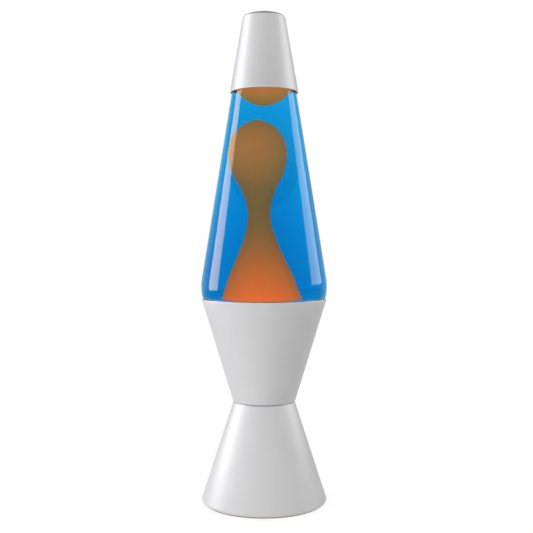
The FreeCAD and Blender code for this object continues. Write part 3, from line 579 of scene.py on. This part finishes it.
# --- Base ------------------------------------------------------------------------------------------------
def stand_shell():
    foot = at(STAND_FOOT_RADIUS, FELT_Z)
    waist = at(STAND_WAIST_RADIUS, WAIST_Z)
    flange = foot_flat_radius() - STAND_FLANGE
    path = [at(flange, FELT_Z), foot, waist, at(WAIST_OPENING_RADIUS, WAIST_Z)]
    shell = lathe("stand_shell", sheet_section(path, [STAND_FOOT_ROUND, WAIST_ROUND], BASE_SHEET))
    low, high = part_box("cord_grommet")
    centre = (low + high) / 2
    lean = math.atan2(STAND_FOOT_RADIUS - STAND_WAIST_RADIUS, WAIST_Z - FELT_Z)
    bpy.ops.mesh.primitive_cylinder_add(
        vertices=HOLE_STEPS, radius=GROMMET_HOLE_RADIUS * MM, depth=GROMMET_HOLE_DEPTH * MM,
        location=centre, rotation=(math.pi / 2 + lean, 0, 0)
    )
    combine(shell, bpy.context.object, "DIFFERENCE")
    return finish_piece(shell, "base", "spun_aluminium", ALUMINIUM, "stand_cone")


def cup_shell():
    rim_z = CUP_RIM_Z - CUP_BEAD_RADIUS
    waist = at(CUP_WAIST_RADIUS, WAIST_Z)
    rim = at(CUP_RIM_RADIUS, rim_z)
    path = [at(WAIST_OPENING_RADIUS, WAIST_Z), waist, rim]
    inner, inner_rounds = beside(path, [WAIST_ROUND], BASE_SHEET)
    outside = rounded(path, [WAIST_ROUND])[:-1]
    roll = arc(at(rim.x - CUP_BEAD_RADIUS, rim_z), CUP_BEAD_RADIUS, first=-5, last=265, steps=24)
    inside = rounded(inner[::-1], inner_rounds[::-1])[1:]
    shell = lathe("cup_shell", outside + roll + inside + [path[0]])
    return finish_piece(shell, "base", "spun_aluminium", BULB_LIT_ALUMINIUM, "globe_cup")


def felt_disc():
    edge = foot_flat_radius() - FELT_INSET
    corners = [at(0, 0), at(edge, 0), at(edge, FELT_Z), at(0, FELT_Z)]
    disc = lathe("felt_disc", rounded(corners, [FELT_ROUND, FELT_ROUND]))
    return finish_piece(disc, "base", "brown_felt", FELT, "felt_pad")


# --- Globe -----------------------------------------------------------------------------------------------
def globe_path(with_ledge=True):
    """The glass's outer surface, from the middle of the punt to the neck's top.

    Without the ledge that sits on the cup's rim, it is the path that the inner surface runs beside.
    """
    bead = at(CUP_RIM_RADIUS - CUP_BEAD_RADIUS, CUP_RIM_Z - CUP_BEAD_RADIUS)
    along = Vector((math.cos(SEAT_SLOPE), math.sin(SEAT_SLOPE)))
    seat = bead + left_of(along) * (CUP_BEAD_RADIUS + GLOBE_SEAT_GAP)
    seat_inner = seat - along * SEAT_HALF
    seat_outer = seat + along * SEAT_HALF
    wall_slope = (CUP_RIM_RADIUS - CUP_WAIST_RADIUS) / (bead.y - WAIST_Z)
    heel = at(seat_inner.x - (seat_inner.y - GLOBE_FOOT_Z) * wall_slope, GLOBE_FOOT_Z)
    belly = at(GLOBE_BELLY_RADIUS, CUP_RIM_Z + GLOBE_BELLY_RISE)
    cone_top = at(GLOBE_TOP_RADIUS, CAP_RIM_Z)
    shoulder = belly.lerp(cone_top, (CAP_RIM_Z + SHOULDER_RISE - belly.y) / (cone_top.y - belly.y))
    corners = [
        at(0, GLOBE_FOOT_Z + PUNT_RISE),
        at(PUNT_RADIUS, GLOBE_FOOT_Z + PUNT_RISE),
        at(PUNT_RADIUS + PUNT_SLOPE_WIDTH, GLOBE_FOOT_Z),
        heel,
        *([seat_inner, seat_outer] if with_ledge else []),
        belly,
        shoulder,
        at(NECK_RADIUS, CAP_RIM_Z + NECK_RISE),
        at(NECK_RADIUS, GLOBE_LIP_Z),
    ]
    ledge_rounds = [LEDGE_ROUND, LEDGE_ROUND] if with_ledge else []
    foot_rounds = [PUNT_TOP_ROUND, PUNT_FOOT_ROUND, HEEL_ROUND]
    return corners, foot_rounds + ledge_rounds + [GLOBE_BELLY_ROUND, SHOULDER_ROUND, NECK_ROUND]


def globe_bottle():
    corners, rounds = globe_path()
    inner, inner_rounds = beside(*globe_path(with_ledge=False), GLASS_WALL)
    lip_foot = GLOBE_LIP_Z - LIP_HEIGHT
    lip = [at(NECK_RADIUS, lip_foot), at(LIP_RADIUS, lip_foot), at(LIP_RADIUS, GLOBE_LIP_Z), inner[-1]]
    outside = rounded(corners, rounds)[:-1] + rounded(lip, [LIP_FOOT_ROUND, LIP_TOP_ROUND])
    bottle = lathe("globe_bottle", outside + rounded(inner[::-1], inner_rounds[::-1])[1:])
    return finish_piece(bottle, "globe", "globe_glass", GLOBE_GLASS, "globe_glass")


def liquid_fill():
    corners, rounds = beside(*globe_path(with_ledge=False), GLASS_WALL - LIQUID_OVERLAP)
    section = [point for point in rounded(corners, rounds) if point.y < FILL_Z]
    section += [at(section[-1].x, FILL_Z), at(0, FILL_Z)]
    return finish_piece(lathe("liquid_fill", section), "globe", "blue_liquid", LIQUID, "liquid")


def wax_height(share):
    return CUP_RIM_Z + share * GLASS_SHOWN


def wax_rising():
    """The column that leans out of the pool on the globe's floor, all inside the glass."""
    pool_z = GLOBE_FOOT_Z + GLASS_WALL + POOL_RISE
    side = [at(COLUMN_FOOT_RADIUS, pool_z)]
    side += [at(radius, wax_height(share)) for radius, share in COLUMN_PROFILE]
    side += [at(0, wax_height(COLUMN_TOP))]
    foot = [at(0, GLOBE_FOOT_Z), at(COLUMN_FOOT_RADIUS, GLOBE_FOOT_Z)]
    column = lathe("wax_rising", foot + flowing(side), WAX_STEPS)
    column.location = (-WAX_FOOT_OFFSET * MM + pool_z * MM * math.sin(WAX_LEAN), 0, 0)
    column.rotation_euler = (0, -WAX_LEAN, 0)
    bpy.ops.object.transform_apply(location=True, rotation=True, scale=True)
    reach = GLOBE_BELLY_RADIUS
    pool = [at(0, GLOBE_FOOT_Z), at(reach, GLOBE_FOOT_Z), at(reach, pool_z), at(0, pool_z)]
    combine(column, lathe("wax_pool", pool, WAX_STEPS), "UNION")
    corners, rounds = beside(*globe_path(with_ledge=False), GLASS_WALL + WAX_SKIN_GAP)
    inside = [point for point in rounded(corners, rounds) if point.y < FILL_Z]
    combine(column, lathe("inside", inside + [at(0, inside[-1].y)], WAX_STEPS), "INTERSECT")
    return finish_piece(column, "globe", "orange_wax", WAX, "wax_column")


def wax_drifting():
    """The free blob under the cap."""
    side = [at(0, wax_height(BLOB_BOTTOM))]
    side += [at(radius, wax_height(share)) for radius, share in BLOB_PROFILE]
    side += [at(0, wax_height(BLOB_TOP))]
    blob = lathe("wax_drifting", flowing(side), WAX_STEPS)
    blob.location = (-BLOB_OFFSET * MM, 0, 0)
    bpy.ops.object.transform_apply(location=True, rotation=True, scale=True)
    return finish_piece(blob, "blob", "orange_wax", BLOB_WAX, "wax_blob")


# --- Bulb ------------------------------------------------------------------------------------------------
def bulb_envelope():
    foot_z = low_of("bulb_glass")
    top_z = high_of("bulb_glass")
    corners = [
        at(BULB_NECK_RADIUS, foot_z),
        at(BULB_NECK_RADIUS, foot_z + BULB_NECK_RISE),
        at(BULB_RADIUS, top_z - BULB_RADIUS - BULB_SIDE_HEIGHT),
        at(BULB_RADIUS, top_z),
        at(0, top_z),
    ]
    rounds = [BULB_NECK_ROUND, BULB_SIDE_ROUND, BULB_RADIUS - BULB_CROWN_FLAT]
    envelope = lathe("bulb_envelope", sheet_section(corners, rounds, BULB_WALL), BULB_STEPS)
    return finish_piece(envelope, "bulb", "bulb_glass", BULB_GLASS, "bulb_glass")


# --- Cap -------------------------------------------------------------------------------------------------
def cap_shell():
    bead = at(GLOBE_TOP_RADIUS + CAP_GAP + CAP_BEAD_RADIUS, CAP_RIM_Z + CAP_BEAD_RADIUS)
    path = [at(bead.x + CAP_BEAD_RADIUS / 2, bead.y), at(CAP_TOP_RADIUS, CAP_TOP_Z), at(0, CAP_TOP_Z)]
    inner, inner_rounds = beside(path, [CAP_TOP_ROUND], CAP_SHEET)
    roll = arc(bead, CAP_BEAD_RADIUS, first=130, last=395, steps=16)
    outside = rounded(path, [CAP_TOP_ROUND])[1:]
    inside = rounded(inner[::-1], inner_rounds[::-1])[:-1]
    shell = lathe("cap_shell", roll + outside + inside + [roll[0]])
    return finish_piece(shell, "cap", "spun_aluminium", ALUMINIUM, "top_cap")


stand_shell()
cup_shell()
felt_disc()
globe_bottle()
liquid_fill()
wax_rising()
wax_drifting()
bulb_envelope()
cap_shell()


# --- CAD pieces that keep their shape --------------------------------------------------------------------
def dress(made, *names):
    """Gives CAD nodes a finished material."""
    for name in names:
        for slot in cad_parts[name].material_slots:
            slot.material = made


ZINC_PLATE = spun_metal(
    "zinc_plate", (0.50, 0.51, 0.52, 1), (0.66, 0.66, 0.65, 1),
    rough=0.36, spread=0.06, depth=1e-6, ring_scale=900.0, streak_scale=90.0
)
ZINC_SHEET = grained(
    "zinc_sheet", (0.48, 0.49, 0.50, 1), (0.66, 0.67, 0.67, 1),
    rough=0.38, spread=0.08, scale=420, depth=4e-6, metallic=1.0
)
BRASS = spun_metal(
    "spun_brass", (0.62, 0.42, 0.16, 1), (0.83, 0.62, 0.28, 1),
    rough=0.34, spread=0.07, depth=2e-6, ring_scale=1500.0, streak_scale=120.0
)
BLACK_ENAMEL = grained(
    "black_enamel", (0.018, 0.018, 0.02, 1), (0.032, 0.032, 0.034, 1),
    rough=0.42, spread=0.06, scale=900, depth=2e-5
)
BLACK_RUBBER = grained(
    "black_rubber", (0.018, 0.018, 0.018, 1), (0.045, 0.044, 0.043, 1),
    rough=0.7, spread=0.1, scale=1500, depth=3e-5
)
PORCELAIN = grained(
    "porcelain", (0.78, 0.76, 0.70, 1), (0.88, 0.87, 0.83, 1),
    rough=0.22, spread=0.06, scale=260, depth=3e-5, coat=0.6
)
SOLDER = grained(
    "solder", (0.42, 0.42, 0.44, 1), (0.64, 0.64, 0.66, 1),
    rough=0.36, spread=0.12, scale=900, depth=8e-5, metallic=1.0
)
BLACK_GLASS = grained(
    "black_glass", (0.008, 0.008, 0.01, 1), (0.02, 0.02, 0.024, 1),
    rough=0.12, spread=0.05, scale=500, depth=1e-5
)
STEM_GLASS = clear_glass("stem_glass", CLEAR, (0.93, 0.95, 0.94, 1), wave=0.00008)
NICKEL_WIRE = grained(
    "nickel_wire", (0.42, 0.41, 0.39, 1), (0.60, 0.59, 0.57, 1),
    rough=0.3, spread=0.08, scale=3000, depth=4e-6, metallic=1.0
)
TUNGSTEN = grained(
    "tungsten", (0.20, 0.20, 0.21, 1), (0.34, 0.34, 0.35, 1),
    rough=0.4, spread=0.08, scale=4000, depth=4e-6, metallic=1.0
)
white_hot = TUNGSTEN.node_tree.nodes["Principled BSDF"]
white_hot.inputs["Emission Color"].default_value = (1.0, 0.68, 0.32, 1)
white_hot.inputs["Emission Strength"].default_value = 12.0
STEEL_WIRE = grained(
    "steel_wire", (0.40, 0.40, 0.41, 1), (0.58, 0.58, 0.59, 1),
    rough=0.32, spread=0.08, scale=2500, depth=5e-6, metallic=1.0
)
LINER_PLASTIC = grained(
    "liner_plastic", (0.72, 0.71, 0.66, 1), (0.84, 0.83, 0.79, 1),
    rough=0.45, spread=0.08, scale=700, depth=2e-5
)
GOLD_LACQUER = grained(
    "gold_lacquer", (0.66, 0.48, 0.19, 1), (0.80, 0.62, 0.29, 1),
    rough=0.26, spread=0.06, scale=600, depth=5e-6, metallic=1.0, coat=0.4
)

dress(ALUMINIUM, "waist_rivets")
dress(ZINC_PLATE, "bracket_screws", "bracket_washers", "bracket_nuts")
dress(ZINC_PLATE, "socket_nipple", "nipple_washer", "nipple_nut")
dress(ZINC_SHEET, "socket_bracket")
dress(BRASS, "terminal_screws", "socket_screw_shell", "socket_contact", "bulb_screw_base")
dress(BLACK_ENAMEL, "bottom_cover")
dress(BLACK_RUBBER, "cord_grommet")
dress(PORCELAIN, "socket_body")
dress(SOLDER, "bulb_contact")
dress(BLACK_GLASS, "bulb_insulator")
dress(STEM_GLASS, "bulb_stem")
dress(NICKEL_WIRE, "bulb_leads")
dress(TUNGSTEN, "bulb_filament")
dress(STEEL_WIRE, "heating_coil")
dress(LINER_PLASTIC, "crown_liner")
dress(GOLD_LACQUER, "crown_cap")


# --- Studio ----------------------------------------------------------------------------------------------
CAMERA_DISTANCE = 0.6647
CAMERA_HEIGHT = 0.1920
CAMERA_TILT = math.radians(1.14)
CAMERA_SIDE = 0.0018
CAMERA_LENS = 59.08
CAMERA_SENSOR = 36

# The room that satin metal mirrors. Directions run from -1 to 1: X is to the right, Y away from the camera
ROOM_LEVEL = 0.71
ROOM_SLOPE = 0.13  # how much darker it is on the right than in the middle
ROOM_BACK = 0.2  # share of the light that is left behind the lamp
ROOM_BACK_FROM, ROOM_BACK_TO = 0.6, 0.95
ROOM_TOP = 0.15  # share of the light that is left overhead
ROOM_TOP_FROM, ROOM_TOP_TO = 0.72, 0.95

# What glass mirrors, and what is seen through it
GLASS_EDGE = (0.5, 0.85, 1.1, 1)
GLASS_EDGE_FROM = 0.45
GLASS_INSIDE = (0.08, 0.26, 0.34, 1)
GLASS_FRONT = (0, 0, 0, 1)
BEHIND_GLASS = 0.2
BEHIND_GLASS_HIGH = 0.45
BEHIND_GLASS_RISE = 0.12

FLOOR_SIZE = 8
FLOOR_GAP = 0.00005  # below the felt, so that the two don't lie in one plane
FLOOR_PAPER = 0.3
FLOOR_GLOW = 0.74
FLOOR_LEVEL = 0.50
FLOOR_SLOPE = 0.17
BOX_TOP = 1.10
BOX_DISTANCE = 0.9


def studio_camera():
    deselect_all()
    bpy.ops.object.camera_add(
        location=(CAMERA_SIDE, -CAMERA_DISTANCE, CAMERA_HEIGHT), rotation=(math.pi / 2 - CAMERA_TILT, 0, 0)
    )
    camera = bpy.context.object
    camera.name = "camera"
    camera.data.lens = CAMERA_LENS
    camera.data.sensor_width = CAMERA_SENSOR
    bpy.context.scene.camera = camera


def soft_box(name, azimuth, low, width, on_glass, on_metal):
    """A tall light seen only in reflections, with one colour in glass and another in satin metal.

    Azimuth is from the camera's side, to the right.
    """
    deselect_all()
    angle = math.radians(azimuth)
    height = BOX_TOP - low
    centre = Vector((math.sin(angle) * BOX_DISTANCE, -math.cos(angle) * BOX_DISTANCE, (low + BOX_TOP) / 2))
    facing = Vector((-centre.x, -centre.y, 0)).to_track_quat("Z", "Y")
    bpy.ops.mesh.primitive_plane_add(size=1, location=centre, rotation=facing.to_euler())
    box = bpy.context.object
    box.name = name
    box.scale = (width, height, 1)
    made, tree, shader = material(name + "_light")
    made.cycles.emission_sampling = "NONE"
    rays = node(tree, "LightPath")
    glow = node(tree, "Emission")
    tree.links.new(mixed(tree, rays.outputs["Is Singular Ray"], on_metal, on_glass), glow.inputs["Color"])
    tree.links.new(glow.outputs[0], tree.nodes["Material Output"].inputs["Surface"])
    box.data.materials.append(made)
    for kind in ("camera", "diffuse", "transmission", "shadow", "volume_scatter"):
        setattr(box, "visible_" + kind, False)


def through_glass(tree, rays, level, rise):
    """The level, a little brighter where it is seen through the globe, and more so higher up."""
    crossed = maths(tree, "MINIMUM", rays.outputs["Transmission Depth"], 1.0)
    extra = span(tree, rise, 0.0, BEHIND_GLASS_RISE, BEHIND_GLASS, BEHIND_GLASS_HIGH)
    return maths(tree, "MULTIPLY_ADD", crossed, extra, level)


def mirrored_behind(tree, rays, away):
    """What glass mirrors: on its outer skin nothing but a pale light from behind, and a dim one inside."""
    skin = mixed(tree, span(tree, away, GLASS_EDGE_FROM, 1.0, 0.0, 1.0), GLASS_FRONT, GLASS_EDGE)
    within = maths(tree, "MINIMUM", rays.outputs["Transmission Depth"], 1.0)
    return mixed(tree, within, skin, GLASS_INSIDE)


def studio_world():
    """White all round, except in reflections.

    Satin metal mirrors a grey room that is darker overhead and behind the lamp. Glass mirrors a pale
    light behind the lamp, and a dim one from its inner side.
    """
    world = bpy.data.worlds.new("studio")
    bpy.context.scene.world = world
    world.cycles.sampling_method = "NONE"
    world.use_nodes = True
    tree = world.node_tree
    rays = node(tree, "LightPath")
    where = node(tree, "TexCoord")
    parts = node(tree, "SeparateXYZ")
    tree.links.new(where.outputs["Generated"], parts.inputs[0])
    x, y, z = parts.outputs
    wall = maths(tree, "MULTIPLY_ADD", x, -ROOM_SLOPE, ROOM_LEVEL)
    roof = span(tree, z, ROOM_TOP_FROM, ROOM_TOP_TO, 1.0, ROOM_TOP)
    back = span(tree, y, ROOM_BACK_FROM, ROOM_BACK_TO, 1.0, ROOM_BACK)
    room = maths(tree, "MULTIPLY", maths(tree, "MULTIPLY", wall, roof), back)
    reflection = mixed(tree, rays.outputs["Is Singular Ray"], room, mirrored_behind(tree, rays, y))
    mirrored = maths(tree, "MINIMUM", rays.outputs["Glossy Depth"], 1.0)
    seen = mixed(tree, mirrored, through_glass(tree, rays, 1.0, z), reflection)
    tree.links.new(seen, tree.nodes["Background"].inputs["Color"])


def studio_floor():
    """Pale paper that glows a little, is grey in the metal's reflections, and is clear from below."""
    deselect_all()
    bpy.ops.mesh.primitive_plane_add(size=FLOOR_SIZE, location=(0, 0, -FLOOR_GAP))
    floor = bpy.context.object
    floor.name = "studio_floor"
    made, tree, shader = material("floor_paper")
    shader.inputs["Base Color"].default_value = (FLOOR_PAPER, FLOOR_PAPER, FLOOR_PAPER, 1)
    shader.inputs["Roughness"].default_value = 1.0
    shader.inputs["Specular IOR Level"].default_value = 0.0
    shader.inputs["Emission Color"].default_value = (1, 1, 1, 1)
    rays = node(tree, "LightPath")
    where = node(tree, "TexCoord")
    parts = node(tree, "SeparateXYZ")
    tree.links.new(where.outputs["Object"], parts.inputs[0])
    x, y, z = parts.outputs
    radius = from_axis(tree, x, y)
    side = maths(tree, "DIVIDE", x, radius)
    mirrored = maths(tree, "MINIMUM", rays.outputs["Glossy Depth"], 1.0)
    glow = node(tree, "Mix")
    tree.links.new(mirrored, glow.inputs["Factor"])
    tree.links.new(through_glass(tree, rays, FLOOR_GLOW, z), glow.inputs["A"])
    tree.links.new(maths(tree, "MULTIPLY_ADD", side, -FLOOR_SLOPE, FLOOR_LEVEL), glow.inputs["B"])
    tree.links.new(glow.outputs["Result"], shader.inputs["Emission Strength"])
    in_glass = node(tree, "Emission")
    tree.links.new(mirrored_behind(tree, rays, maths(tree, "DIVIDE", y, radius)), in_glass.inputs["Color"])
    from_above = node(tree, "MixShader")
    sharp = maths(tree, "MULTIPLY", mirrored, rays.outputs["Is Singular Ray"])
    tree.links.new(sharp, from_above.inputs["Fac"])
    tree.links.new(shader.outputs[0], from_above.inputs[1])
    tree.links.new(in_glass.outputs[0], from_above.inputs[2])
    from_below = node(tree, "MixShader")
    tree.links.new(node(tree, "NewGeometry").outputs["Backfacing"], from_below.inputs["Fac"])
    tree.links.new(from_above.outputs[0], from_below.inputs[1])
    tree.links.new(node(tree, "BsdfTransparent").outputs[0], from_below.inputs[2])
    tree.links.new(from_below.outputs[0], tree.nodes["Material Output"].inputs["Surface"])
    floor.data.materials.append(made)


studio_camera()
studio_world()
studio_floor()
soft_box(
    "left_box", azimuth=-103, low=0.08, width=0.42,
    on_glass=(5.2, 3.8, 2.2, 1), on_metal=(2.05, 2.03, 2.12, 1)
)
soft_box(
    "right_box", azimuth=110.3, low=0.19, width=0.52,
    on_glass=(2.3, 2.4, 2.1, 1), on_metal=(1.2, 1.2, 1.2, 1)
)
bpy.context.scene.view_settings.view_transform = "Standard"
